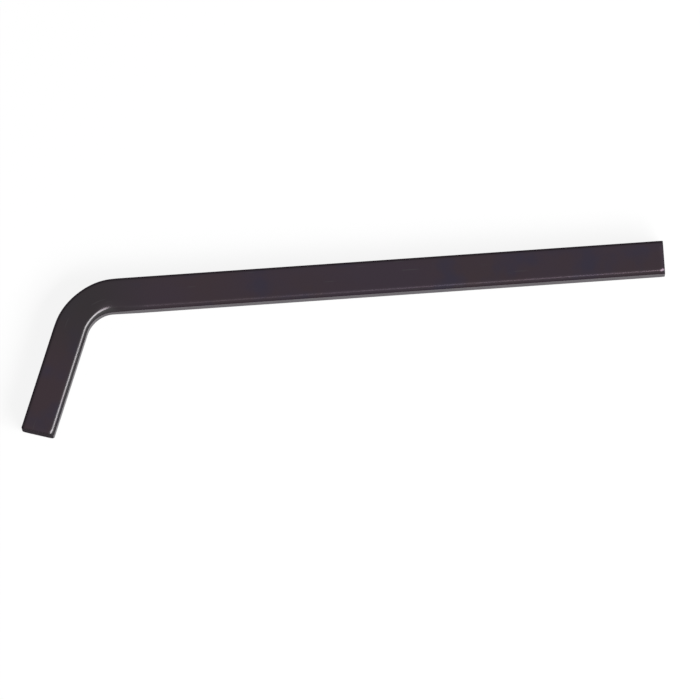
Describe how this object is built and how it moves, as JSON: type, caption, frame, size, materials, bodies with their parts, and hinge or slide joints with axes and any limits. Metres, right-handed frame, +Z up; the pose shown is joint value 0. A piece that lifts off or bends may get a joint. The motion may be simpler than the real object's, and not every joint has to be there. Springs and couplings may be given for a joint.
{
  "type": "oil drain key",
  "caption": "Bent square steel bar for turning recessed square drain plugs: a long arm as the lever, a short arm as the driving end.",
  "frame": {"origin": "on the surface that the key lies on, under the middle of its box", "axes": "+X along the long arm towards its free end, +Z up from the broad side it lies on; the short arm points to -X and -Y"},
  "size_m": [0.1558, 0.0366, 0.008],
  "materials": {
    "black_oxide_steel": "satin black oxide, slightly oily, with a faint purple-brown cast"
  },
  "bodies": {
    "root": {"drain_key": "black_oxide_steel"}
  },
  "joints": []
}
